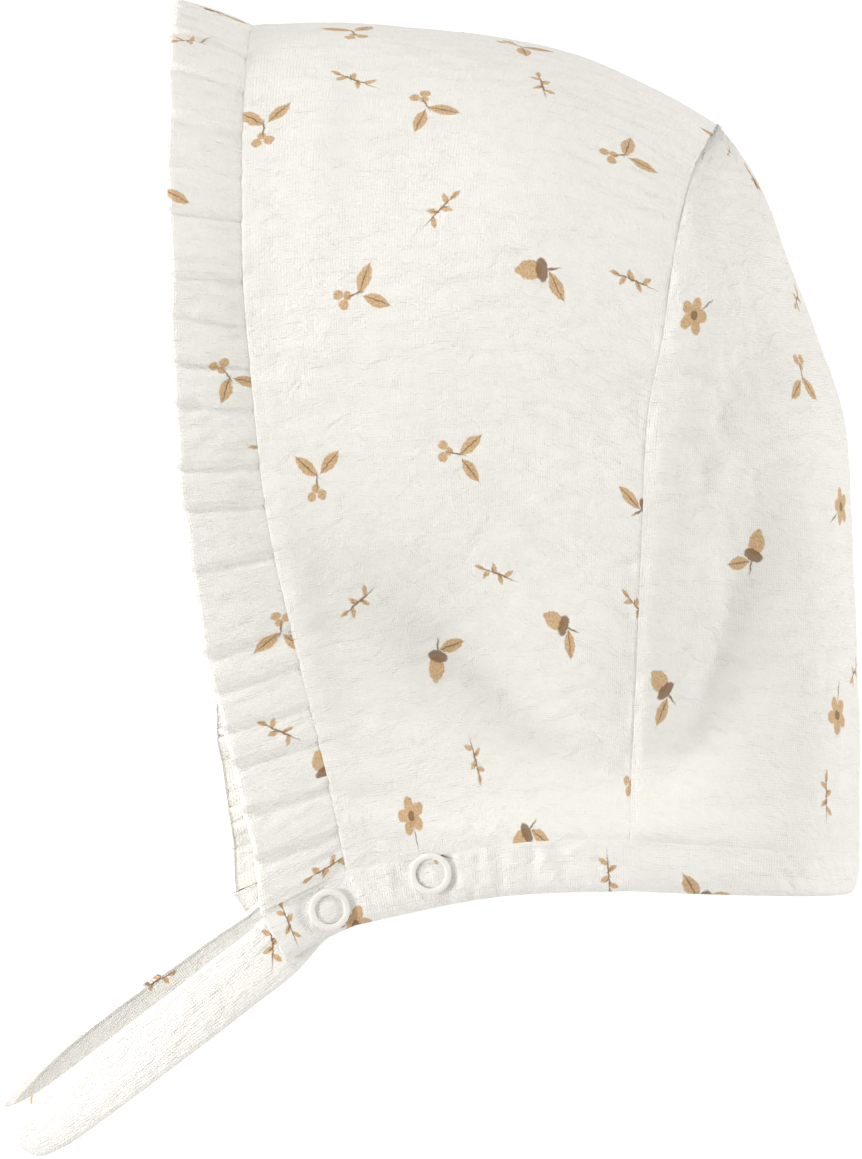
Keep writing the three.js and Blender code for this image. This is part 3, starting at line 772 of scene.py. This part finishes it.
    def build(self) -> bpy.types.Material:
        """Make the material.

        Returns:
            The finished material.
        """
        material = bpy.data.materials.new(self.name)
        tree = emptied(material)
        cloth = add(tree, "UVMap", uv_map="Cloth").outputs[0]
        place = add(tree, "Mapping", {"Vector": cloth, "Scale": (1 / MM,) * 3}).outputs[0]

        blotch = noise(tree, place, 0.05, 3.0).outputs[0]
        colour = blend(tree, blotch, linear(self.ground), linear(self.shadow))
        if self.printed:
            colour = self._print(tree, place, colour)

        # Crossing threads: two sets of ridges, a little unevenly spun.
        uneven = noise(tree, place, 0.35, 2.0).outputs["Color"]
        threads = vectors(tree, "ADD", place, vectors(tree, "MULTIPLY", uneven, (0.7, 0.7, 0.0)))
        split = parts_of(tree, threads)
        ridges = [
            maths(tree, "SINE", maths(tree, "MULTIPLY", split[axis], 2 * math.pi / self.thread_mm)) for axis in "XY"
        ]
        nap = noise(tree, place, 1.3, 3.0, Roughness=0.65).outputs[0]
        grain = maths(tree, "MULTIPLY_ADD", nap, self.nap_share, maths(tree, "ADD", *ridges))

        # Fine crepe left by washing: short creases that lean down to the back.
        stretched = add(tree, "Mapping", {
            "Vector": place, "Rotation": (0, 0, math.radians(24)), "Scale": (0.42, 1.0, 1.0)}).outputs[0]
        crepe = noise(tree, stretched, 1 / self.crease_mm, 5.0, Roughness=0.62, Distortion=0.6).outputs[0]
        height = add(tree, "Bump", {"Strength": 1.0, "Distance": 0.0009, "Height": crepe}).outputs[0]
        fine = add(tree, "Bump", {
            "Strength": 0.6, "Distance": 0.00004, "Height": grain, "Normal": height}).outputs[0]

        surface = add(tree, "BsdfPrincipled", {
            "Base Color": colour, "Roughness": 0.93, "Specular IOR Level": 0.25, "Sheen Weight": 0.12,
            "Sheen Roughness": 0.5, "Normal": fine})
        add(tree, "OutputMaterial", {"Surface": surface.outputs[0]})
        return material


@dataclass(frozen=True)
class SnapResin:
    """Moulded acetal resin of the snaps: cream, smooth, with a soft gloss."""

    name: str = "snap_resin"
    colour: str = "#f0eee8"
    worn: str = "#e9e6df"

    def build(self) -> bpy.types.Material:
        """Make the material.

        Returns:
            The finished material.
        """
        material = bpy.data.materials.new(self.name)
        tree = emptied(material)
        cloud = noise(tree, add(tree, "TexCoord").outputs["Object"], 600.0, 3.0).outputs[0]
        wear = spread(tree, cloud, 0.0, 1.0, 0.3, 0.42)
        skin = add(tree, "Bump", {"Strength": 0.3, "Distance": 0.00002, "Height": cloud})
        tint = blend(tree, cloud, linear(self.colour), linear(self.worn))
        surface = add(tree, "BsdfPrincipled", {
            "Base Color": tint, "Roughness": wear, "IOR": 1.48, "Normal": skin.outputs[0]})
        add(tree, "OutputMaterial", {"Surface": surface.outputs[0]})
        return material


# ---- Cloth pieces ----
def link(name: str, data: bpy.types.ID) -> bpy.types.Object:
    """Make an object and put it in the scene."""
    made = bpy.data.objects.new(name, data)
    bpy.context.collection.objects.link(made)
    return made


def mesh_from(bm: bmesh.types.BMesh, name: str) -> bpy.types.Mesh:
    """Turn an edited mesh into a finished one."""
    mesh = bpy.data.meshes.new(name)
    bm.to_mesh(mesh)
    bm.free()
    return mesh


@dataclass(frozen=True)
class Cut:
    """What was cut for a piece: flat size and area in metres, and how it is held."""

    width: float
    length: float
    held: str
    area: float | None = None


@dataclass
class ClothPiece:
    """A sewn sheet of muslin that follows the bonnet's form."""

    form: BonnetForm
    name: str
    replaces: str
    wall: float
    across: int
    down: int
    cut: Cut
    slot: str
    rests_on: tuple[str, ...] = ()

    def place(self, u: Array, v: Array) -> tuple[Array, Array]:
        """Lay the cloth's grid on the form.

        Args:
            u: shares from 0 to 1 across the cloth.
            v: shares from 0 to 1 along it.

        Returns:
            Places and cloth coordinates, in millimetres.
        """
        raise NotImplementedError

    def build(self, material: bpy.types.Material) -> bpy.types.Object:
        """Cut a grid, lay it on the form and give it the cloth's thickness.

        Args:
            material: the cloth's finish.

        Returns:
            The finished piece.
        """
        bm = bmesh.new()
        bmesh.ops.create_grid(bm, x_segments=self.across, y_segments=self.down, size=0.5)
        bm.verts.ensure_lookup_table()
        flat = np.array([(v.co.x + 0.5, v.co.y + 0.5) for v in bm.verts])
        points, cloth = self.place(flat[:, 0], flat[:, 1])
        for vert, point in zip(bm.verts, points * MM):
            vert.co = point
        bm.normal_update()
        centre = Vector((0, 0, -0.1))
        outward = sum((f.normal.dot(f.calc_center_median() - centre) * f.calc_area() for f in bm.faces), 0.0)
        if outward < 0:
            bmesh.ops.reverse_faces(bm, faces=bm.faces)
        for edge in bm.edges:
            edge.smooth = not edge.is_boundary
        mesh = mesh_from(bm, self.name)
        mesh.shade_smooth()
        corner = np.empty(len(mesh.loops), dtype=np.int32)
        mesh.loops.foreach_get("vertex_index", corner)
        layer = mesh.uv_layers.new(name="Cloth")
        layer.data.foreach_set("uv", (cloth[corner] * MM).ravel())
        mesh.materials.append(material)
        piece = link(self.name, mesh)
        thick = piece.modifiers.new("Cloth thickness", "SOLIDIFY")
        thick.thickness = self.wall * MM
        thick.offset = -1.0
        thick.use_rim = True
        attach(piece, "root")
        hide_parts(self.replaces)
        LOG.info("%s: %d faces", self.name, len(mesh.polygons))
        return piece


class HoodPanel(ClothPiece):
    """The panel over the crown and down both sides."""

    def place(self, u: Array, v: Array) -> tuple[Array, Array]:
        """Lay the hood panel; u runs front to back, v from the far hem over the crown to the near hem."""
        f = 2 * v - 1
        u = crowd(u, 0.6)
        p, n = self.form.shell(u, f), self.form.lifting(u, f)
        width = mix(102.0, 62.0, np.abs(f))
        girth = mix(self.form.front.girth(), self.form.crown.girth(), u)
        run = np.abs(f) * girth
        from_front, from_crown, from_hem = u * width, (1 - u) * width, girth - run
        far = f < 0
        # Small relief dies away at the seams, so that the panels meet.
        calm = smooth(np.minimum(np.minimum(from_front, from_crown), from_hem) / CALM_REACH)
        lift = dents(BROAD_DENTS, p) + slack(u, f, p, girth) - valley(u, f, p, self.form.front.girth())
        lift -= 0.3 * np.exp(-from_front / 15.0) * folds_at(run, -0.12 * from_front / 10, far, 1.4, 3.2)
        small = dents(SMALL_DENTS, p)
        small += 0.15 * hollow(from_front - 3.0, 2.0)
        small += 0.32 * Crinkle(11, 2, 10, 3.0, 6.0).at(from_front * 0.35, run) * np.exp(-from_front / 7.0)
        small += 0.24 * Crinkle(12, 4, 14, 3.5, 7.0).at(from_crown * 0.5, run) * np.exp(-from_crown / 5.0)
        small += 0.15 * Crinkle(13, 88, 16, 4.0, 8.0).at(from_front, from_hem * 0.5) * np.exp(-from_hem / 6.0)
        leaning = Crinkle(14, 28, 22, 4.0, 13.0).at(from_front, run * np.where(far, -1, 1))
        level = Crinkle(15, 6, 16, 4.0, 12.0).at(from_front, run + 300)
        low = smooth((run - 110) / 70)
        small += (0.1 + 0.12 * smooth((run - 60) / 50)) * mix(leaning, level, low)
        lift += calm * small - 0.2 * hollow(np.minimum(from_front, from_crown), 0.45) - 0.12 * hollow(from_hem, 0.9)
        return p + n * lift[:, None], np.stack([u * 95.0, f * self.form.front.girth()], axis=-1)


class BackPanel(ClothPiece):
    """The rounded panel down the back of the head."""

    start: float = 0.004       # the grid starts just below the crown's tip, where its columns would meet

    def place(self, u: Array, v: Array) -> tuple[Array, Array]:
        """Lay the back panel; u runs round from the near to the far crown seam, v down to the neck."""
        t = 1 + 2 * crowd(u, 0.5)
        f = mix(self.start, 1.0, v)
        p, n = self.form.shell(t, f), self.form.lifting(t, f)
        girth = self.form.crown.girth()
        run = f * girth
        turn = np.minimum(t - 1, 3 - t)
        from_seam = turn * mix(20.0, BACK_HALF_WIDTH, smooth(f / 0.5))
        from_hem = girth - run
        calm = smooth(np.minimum(from_seam, from_hem) / CALM_REACH)
        # The seam allowance lies under this panel: a quick rise beside the seam, then a long fall.
        ridge = np.where(from_seam < 5.0, hollow(from_seam - 5.0, 4.0), hollow(from_seam - 5.0, 12.0))
        lift = dents(BROAD_DENTS, p) + slack(t, f, p, girth) - valley(t, f, p, self.form.front.girth())
        small = dents(SMALL_DENTS, p) + (0.6 + 0.4 * smooth((run - 40) / 60)) * ridge * smooth(run / 30)
        beside = np.exp(-from_seam / 5.0) * smooth(run / 20)
        small += 0.3 * Crinkle(21, 4, 12, 3.0, 6.5).at(from_seam * 0.5, run) * beside
        small += 0.24 * Crinkle(22, 80, 26, 4.5, 13.0).at(from_seam * np.sign(2 - t), run) * smooth(run / 25)
        small += 0.12 * Crinkle(23, 88, 14, 4.0, 8.0).at(from_seam, from_hem * 0.5) * np.exp(-from_hem / 6.0)
        lift += calm * small - 0.16 * hollow(from_seam, 0.45) - 0.12 * hollow(from_hem, 0.9)
        cloth = np.stack([(t - 2) * BACK_HALF_WIDTH, 400.0 + run], axis=-1)
        return p + n * lift[:, None], cloth


class FaceFrill(ClothPiece):
    """The gathered double frill round the face."""

    def place(self, u: Array, v: Array) -> tuple[Array, Array]:
        """Lay the frill; u runs from its edge to the front seam, v from the far end over the top to the near end."""
        t = u - 1
        reach = -t
        f = 2 * v - 1
        far = f < 0
        girth = self.form.front.girth()
        run = np.abs(f) * girth
        # Between folds the edge swings out and in a little.
        swing = 0.012 * np.sin(run / 5.1 + np.where(far, 1.3, 0.0)) + 0.008 * np.sin(run / 2.7 + 2.0)
        p = self.form.shell(t * (1 + swing * reach), f)
        n = self.form.outward(t, f)
        lift = dents(BROAD_DENTS, p) * (1 + t) + 0.6 * reach + 0.5 * np.sin(math.pi * reach)
        lift -= (0.5 + 0.45 * reach) * folds_at(run, reach, far, 0.6, 2.4)
        inward = FRILL_HEIGHT * reach
        calm = smooth(inward / 2.0)
        gathers = Crinkle(31, 1, 7, 2.4, 5.5).at(inward * 0.3, run * np.where(far, 1.07, 1.0))
        lift += calm * (0.42 * np.exp(-inward / 6.0) + 0.08) * gathers - 0.24 * hollow(inward, 0.5)
        lift += 0.2 * Crinkle(32, 12, 30, 4.0, 10.0).at(inward, run) * smooth(inward / 5)
        # The folded edge turns in.
        rim = np.clip((reach - 0.94) / 0.06, 0, 1)
        lift -= 0.9 * (1 - np.sqrt(1 - 0.98 * rim**2))
        cloth = np.stack([600.0 + inward, f * girth * 1.25], axis=-1)
        return p + n * lift[:, None], cloth


class NeckBand(ClothPiece):
    """The turned band along the lower edge."""

    def place(self, u: Array, v: Array) -> tuple[Array, Array]:
        """Lay the band; u runs from the near front corner round the back, v from its foot up."""
        corner = BAND_CORNER
        side = (u - corner) / (1 - 2 * corner) * 4
        t = np.where(u < corner, -1 + u / corner, np.where(u > 1 - corner, 4 + (u - 1 + corner) / corner, side))
        drop = 1 - v
        f = 1 + drop
        p, n = self.form.shell(t, f), self.form.outward(t, f)
        from_top, from_foot = drop * BAND_HEIGHT, (1 - drop) * BAND_HEIGHT
        lift = dents(BROAD_DENTS, p) + 0.4 * np.sin(math.pi * np.clip(drop, 0, 1))
        rim = np.clip((drop - 0.72) / 0.28, 0, 1)
        lift -= 1.6 * (1 - np.sqrt(1 - 0.97 * rim**2))
        run = u * BAND_LENGTH
        small = 0.2 * Crinkle(41, 84, 20, 3.5, 9.0).at(run, from_top * 0.6)
        small += 0.14 * Crinkle(42, 60, 12, 3.0, 6.0).at(run, from_top)
        lift += smooth(from_top / 2) * small
        lift -= 0.1 * hollow(from_foot - 2.6, 0.45) + 0.14 * hollow(from_top, 0.6)
        for spot in SNAP_SPOTS.values():
            centre, _ = self.form.on_side(spot)
            away = np.linalg.norm(p - centre, axis=-1)
            lift += 0.55 * hollow(away, 2.4) - 0.45 * hollow(away - 5.2, 1.5)
        cloth = np.stack([run, 900.0 + from_top], axis=-1)
        return p + n * lift[:, None], cloth


class ChinStrap(ClothPiece):
    """The strap: tucked inside the neck band, then a loop under the chin."""

    def _centre_line(self) -> RunningLine:
        """Lead the strap's middle line from the tucked end by the snaps to the far end.

        Returns:
            The line, in millimetres.
        """
        inset = BAND_WALL + STRAP_STAND_OFF + STRAP_WALL / 2

        def tucked(spot: Spot) -> Array:
            """Go inside the neck band."""
            place, n = self.form.on_side(spot)
            return place - n * inset

        near = [tucked(spot) for spot in STRAP_TUCK]
        loop = [
            np.array([
                x,
                STRAP_ROOT.y - run * math.cos(STRAP_SLOPE) - rise * math.sin(STRAP_SLOPE),
                STRAP_ROOT.z - run * math.sin(STRAP_SLOPE) + rise * math.cos(STRAP_SLOPE),
            ])
            for run, rise, x in STRAP_LOOP
        ]
        forward = np.array([0, 0.6 * FAR_CORNER_FORWARD, 0])
        far = [tucked(spot) * np.array([-1, 1, 1]) - forward for spot in STRAP_FAR_END]
        return RunningLine([*near, *loop, *far])

    def place(self, u: Array, v: Array) -> tuple[Array, Array]:
        """Lay the strap; u runs along it and v across it."""
        line = self._centre_line()
        centre = line.at(u)
        along = unit(line.at(np.minimum(u + 0.002, 1)) - line.at(np.maximum(u - 0.002, 0)))
        steady = np.array([0, -math.sin(STRAP_SLOPE), math.cos(STRAP_SLOPE)])
        across = np.stack([np.zeros_like(u), -along[:, 2], along[:, 1]], axis=-1)
        across = unit(across * np.where(across[:, 2:] < 0, -1, 1))
        free = smooth((44 - np.abs(centre[:, 0])) / 6)[:, None]
        across = unit(mix(across, steady, free))
        facing = np.cross(along, across)
        away = centre * np.array([1, 0, 0]) + np.array([0, -20, -14])
        facing = unit(facing * np.where(np.sum(facing * away, axis=-1, keepdims=True) < 0, -1, 1))
        side = 2 * v - 1
        turn = np.maximum(0, 1 - np.abs(centre[:, 0]) / 34) ** 1.5
        lift = 0.5 * (1 - side**2) - STRAP_CUP * turn * np.abs(side) ** 3.2 - 0.5 + STRAP_WALL / 2
        edge = (1 - np.abs(side)) * STRAP_WIDTH / 2
        lift -= 0.5 * hollow(edge, 0.6) + 0.12 * hollow(edge - 1.6, 0.4)
        run = u * line.length
        lift += 0.16 * Crinkle(51, 88, 24, 4.0, 11.0).at(run, edge)
        lift += 0.1 * Crinkle(52, 88, 8, 2.6, 4.5).at(run, edge * 0.4) * hollow(edge - 1.2, 1.6)
        points = centre + across * (side * STRAP_WIDTH / 2)[:, None] + facing * lift[:, None]
        return points, np.stack([run, 1200.0 + v * STRAP_WIDTH], axis=-1)


# ---- Snaps ----
@dataclass
class SnapRing:
    """An open-ring snap: a round-edged resin ring pressed on the neck band."""

    form: BonnetForm
    which: str
    spot: Spot

    def build(self, material: bpy.types.Material) -> bpy.types.Object:
        """Spin the ring's section and set it on the band.

        Args:
            material: the ring's finish.

        Returns:
            The finished piece.
        """
        bm = bmesh.new()
        ring = bmesh.ops.create_circle(bm, cap_ends=False, segments=20, radius=1.0)
        half = (SNAP_OUTER_RADIUS - SNAP_INNER_RADIUS) / 2 * MM
        middle = (SNAP_OUTER_RADIUS + SNAP_INNER_RADIUS) / 2 * MM
        for vert in ring["verts"]:
            a = math.atan2(vert.co.y, vert.co.x)
            # A flattened round: broad on top, with a fine lip on both edges.
            x = half * math.copysign(abs(math.cos(a)) ** 0.8, math.cos(a))
            dip = 0.12 * max(math.sin(a), 0) * (1 - abs(math.cos(a)))
            z = SNAP_HEIGHT / 2 * MM * (math.copysign(abs(math.sin(a)) ** 0.75, math.sin(a)) - dip)
            vert.co = Vector((middle + x, 0.0, z))
        geom = list(bm.verts) + list(bm.edges)
        bmesh.ops.spin(bm, geom=geom, angle=2 * math.pi, steps=56, axis=(0, 0, 1), cent=(0, 0, 0), use_merge=True)
        bmesh.ops.remove_doubles(bm, verts=bm.verts, dist=1e-6)
        bmesh.ops.recalc_face_normals(bm, faces=bm.faces)
        place, n = self.form.on_side(self.spot)
        seat = Vector(place * MM) + Vector(n) * SNAP_SEAT * MM
        turn = Vector((0, 0, 1)).rotation_difference(Vector(n)).to_matrix().to_4x4()
        bmesh.ops.transform(bm, matrix=Matrix.Translation(seat) @ turn, verts=bm.verts)
        mesh = mesh_from(bm, f"ring_{self.which}")
        mesh.shade_smooth()
        mesh.materials.append(material)
        piece = link(f"ring_{self.which}", mesh)
        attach(piece, "root")
        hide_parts(f"snap_ring_{self.which}")
        LOG.info("ring_%s set", self.which)
        return piece


# ---- Studio ----
# Each row: name, place in metres, size in metres, power in watts.
LIGHTS = (
    ("Key softbox", (0.75, -0.8, 1.15), 0.35, 11.3),
    ("Rear fill", (0.2, 1.5, 0.1), 0.5, 11.8),
    ("Low fill", (0.8, -1.05, -0.25), 0.3, 7.2),
    ("Top rim", (-0.6, 0.0, 1.3), 0.6, 2.2),
    ("Front fill", (0.1, -1.5, 0.2), 0.5, 7.0),
)


@dataclass
class Studio:
    """Pale floor, soft lights and the camera of the photograph, in metres."""

    target: tuple[float, float, float] = (0.0, -0.0155, -0.1203)
    distance: float = 1.6
    yaw_to_face: float = math.radians(1.5)
    view_height: float = 0.2608      # seen from top to bottom at the bonnet
    sensor: float = 36.0             # millimetres
    ambient: float = 0.42
    wall_light: float = 1.08
    floor_level: float = -0.36
    floor_half: float = 5.0
    floor_end: float = -1.2          # where the floor stops behind the bonnet

    def camera(self) -> None:
        """Place the camera at the wearer's left, turned slightly toward the face."""
        data = bpy.data.cameras.new("Photo camera")
        data.sensor_width = self.sensor
        data.lens = self.sensor * self.distance / self.view_height
        data.clip_start, data.clip_end = 0.05, 50.0
        away = Vector((math.cos(self.yaw_to_face), -math.sin(self.yaw_to_face), 0.0))
        camera = link("Photo camera", data)
        camera.location = Vector(self.target) + away * self.distance
        camera.rotation_euler = (-away).to_track_quat("-Z", "Y").to_euler()
        bpy.context.scene.camera = camera

    def floor(self) -> None:
        """Lay a wide pale floor below the hanging strap, out of the photograph's own view."""
        bm = bmesh.new()
        bmesh.ops.create_grid(bm, x_segments=1, y_segments=1, size=self.floor_half)
        for vert in bm.verts:
            vert.co = (max(vert.co.x, self.floor_end), vert.co.y, self.floor_level)
        mesh = mesh_from(bm, "Floor")
        material = bpy.data.materials.new("Pale floor")
        tree = emptied(material)
        grain = add(tree, "TexNoise", {"Scale": 3.0, "Detail": 2.0}).outputs[0]
        tint = blend(tree, grain, linear("#e6e6e6"), linear("#e1e1e1"))
        surface = add(tree, "BsdfPrincipled", {"Base Color": tint, "Roughness": 0.95, "Specular IOR Level": 0.1})
        add(tree, "OutputMaterial", {"Surface": surface.outputs[0]})
        mesh.materials.append(material)
        link("Floor", mesh)

    def light(self, name: str, place: tuple[float, float, float], size: float, power: float) -> None:
        """Hang one soft light that faces the bonnet.

        Args:
            name: what it is called.
            place: where it hangs, in metres.
            size: how wide it is, in metres.
            power: its power in watts.
        """
        data = bpy.data.lights.new(name, "AREA")
        data.shape = "DISK"
        data.size = size
        data.energy = power
        lamp = link(name, data)
        lamp.location = place
        lamp.rotation_euler = (Vector(self.target) - Vector(place)).to_track_quat("-Z", "Y").to_euler()

    def surroundings(self) -> None:
        """Surround the bonnet with soft light and a white wall behind it."""
        world = bpy.data.worlds.new("Studio")
        tree = emptied(world)
        way = parts_of(tree, add(tree, "TexCoord").outputs["Generated"])
        wall = spread(tree, way["X"], -0.86, -0.95, self.ambient, self.wall_light)
        background = add(tree, "Background", {"Color": (1.0, 0.99, 0.972, 1.0), "Strength": wall})
        add(tree, "OutputWorld", {"Surface": background.outputs[0]})
        bpy.context.scene.world = world

    def build(self) -> None:
        """Set up the whole studio."""
        bpy.context.scene.view_settings.view_transform = "Standard"
        self.camera()
        self.floor()
        self.surroundings()
        for row in LIGHTS:
            self.light(*row)


def main() -> None:
    logging.basicConfig(level=logging.INFO, format="%(message)s")
    Studio().build()
    form = BonnetForm()
    muslin = PrintedMuslin("Printed washed muslin").build()
    hem = PrintedMuslin("Plain hem muslin", ground="#f5f3ee", shadow="#efece6", seed=9.0).build()
    resin = SnapResin().build()

    HoodPanel(form, "hood", "hood_panel", PANEL_WALL, 110, 300, Cut(0.104, 0.445, "stretched"), "printed_muslin",
              ("face_frill", "neck_band")).build(muslin)
    BackPanel(form, "back", "back_panel", PANEL_WALL, 150, 150, Cut(0.165, 0.19, "stretched", 0.026), "printed_muslin",
              ("hood_panel", "neck_band")).build(muslin)
    FaceFrill(form, "frill", "face_frill", FRILL_WALL, 26, 840, Cut(0.0185, 0.58, "gathered"), "printed_muslin",
              ("hood_panel",)).build(muslin)
    NeckBand(form, "band", "neck_band", BAND_WALL, 520, 22, Cut(0.013, 0.36, "stretched"), "hem_muslin",
             ("hood_panel", "back_panel")).build(hem)
    ChinStrap(form, "strap", "chin_strap", STRAP_WALL, 300, 24, Cut(0.0145, 0.26, "hung"), "hem_muslin",
              ("neck_band",)).build(hem)
    for which, spot in SNAP_SPOTS.items():
        SnapRing(form, which, spot).build(resin)
        stud = bpy.data.objects[f"snap_stud_{which}"]
        stud.data.materials.clear()
        stud.data.materials.append(resin)
        LOG.info("snap_stud_%s finished", which)


if __name__ == "__main__":
    main()
